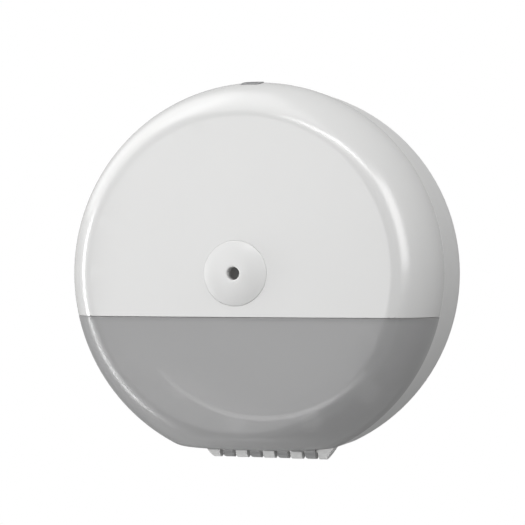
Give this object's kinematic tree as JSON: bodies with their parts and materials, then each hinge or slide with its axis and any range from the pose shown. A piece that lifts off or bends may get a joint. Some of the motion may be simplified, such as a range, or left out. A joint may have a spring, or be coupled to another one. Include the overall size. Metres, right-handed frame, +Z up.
{
  "type": "toilet paper dispenser",
  "caption": "Round wall-mounted toilet paper dispenser with a centre outlet for single sheets, a smoke-grey level window, a drop-down cover and a push-button latch.",
  "frame": {"origin": "centre of the back face, which lies on the wall, on the dispenser's own round axis", "axes": "+Z up, +Y into the wall, +X to the right of someone facing the dispenser"},
  "size_m": [0.269, 0.156, 0.2687],
  "materials": {
    "housing_white": "satin",
    "cover_white": "gloss",
    "nozzle_white": "satin",
    "inner_white": "matte",
    "smoke_window": "translucent smoke grey",
    "lock_grey": "satin",
    "key_black": "matte",
    "steel": "bright",
    "zinc_screws": "zinc plated",
    "spring_steel": "drawn wire"
  },
  "bodies": {
    "housing": {"rear_housing": "housing_white", "roll_shelf": "inner_white", "shelf_screws": "zinc_screws", "hinge_pin": "steel", "strike_plate": "steel", "strike_screws": "zinc_screws"},
    "cover": {"upper_cover": "cover_white", "level_window": "smoke_window", "window_screws": "zinc_screws", "nozzle": "nozzle_white", "nozzle_throat": "inner_white", "nozzle_ring": "inner_white", "lock_case": "inner_white", "lock_screws": "zinc_screws", "latch_spring": "spring_steel"},
    "latch": {"lock_button": "lock_grey", "key_plate": "key_black", "latch_slider": "lock_grey"}
  },
  "joints": [
    {"name": "cover_hinge", "type": "hinge", "parent": "housing", "child": "cover", "pos_m": [0, -0.067, -0.1277], "axis": [1, 0, 0], "range_deg": [0, 110]},
    {"name": "button_press", "type": "slide", "parent": "cover", "child": "latch", "axis": [0, 0, -1], "range_m": [0, 0.004], "stiffness_N_per_m": 400, "springref_m": -0.003, "deforming": ["latch_spring"]}
  ]
}
